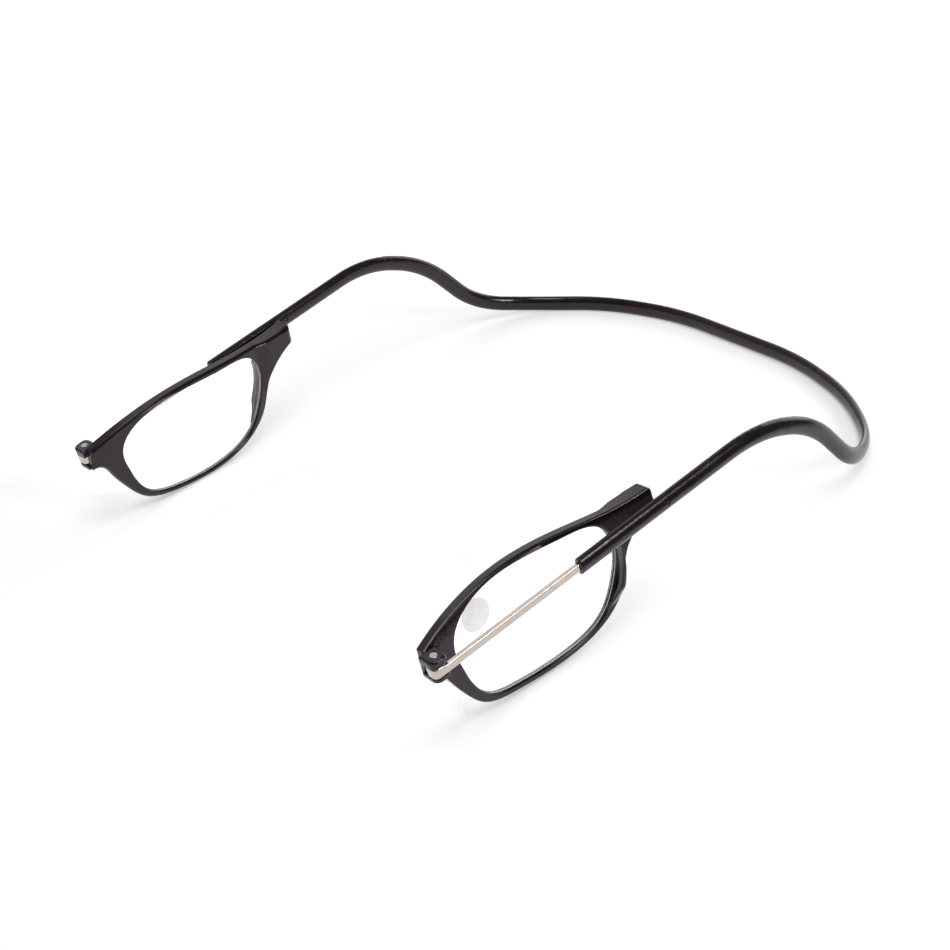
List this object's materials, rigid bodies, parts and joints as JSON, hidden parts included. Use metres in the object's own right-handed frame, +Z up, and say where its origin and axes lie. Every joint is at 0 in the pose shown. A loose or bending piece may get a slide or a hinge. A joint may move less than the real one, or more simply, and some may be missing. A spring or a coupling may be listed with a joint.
{
  "type": "reading glasses",
  "caption": "Magnetic bridge reading glasses: hinged half frames with lenses on steel rods that slide in the ends of a one-piece neckband, standing folded.",
  "frame": {"origin": "middle of the footprint, on the surface the glasses stand on", "axes": "+Z up, +Y from the hinges at the front to the back of the neckband, +X across, to the wearer's left as the front faces -Y"},
  "size_m": [0.1494, 0.1832, 0.0371],
  "materials": {
    "frame_plastic": "polished black",
    "band_plastic": "polished black",
    "rod_steel": "bright nickel",
    "pin_steel": "bright steel",
    "magnet_nickel": "nickel plated",
    "lens_clear": "clear polished",
    "sticker_film": "pale translucent film"
  },
  "bodies": {
    "neckband": {"neckband": "band_plastic", "left_stop_pin": "pin_steel", "right_stop_pin": "pin_steel"},
    "left_rod": {"left_temple_rod": "rod_steel"},
    "right_rod": {"right_temple_rod": "rod_steel"},
    "left_front": {"left_half_frame": "frame_plastic", "left_lens": "lens_clear", "left_hinge_pin": "pin_steel", "left_bridge_magnet": "magnet_nickel"},
    "right_front": {"right_half_frame": "frame_plastic", "right_lens": "lens_clear", "right_hinge_pin": "pin_steel", "right_bridge_magnet": "magnet_nickel", "lens_sticker": "sticker_film"}
  },
  "joints": [
    {"name": "left_rod_slide", "type": "slide", "parent": "neckband", "child": "left_rod", "axis": [-0.038, 0.9893, 0.1409], "range_m": [-0.0045, 0.013]},
    {"name": "right_rod_slide", "type": "slide", "parent": "neckband", "child": "right_rod", "axis": [0.038, 0.9893, 0.1409], "range_m": [-0.0075, 0.01]},
    {"name": "left_front_fold", "type": "hinge", "parent": "left_rod", "child": "left_front", "pos_m": [-0.068, -0.08886, 0.0215], "axis": [0, 0.141, -0.99], "range_deg": [-0.3, 93.3]},
    {"name": "right_front_fold", "type": "hinge", "parent": "right_rod", "child": "right_front", "pos_m": [0.06811, -0.08589, 0.02192], "axis": [0, -0.141, 0.99], "range_deg": [-2.1, 91.5]}
  ]
}
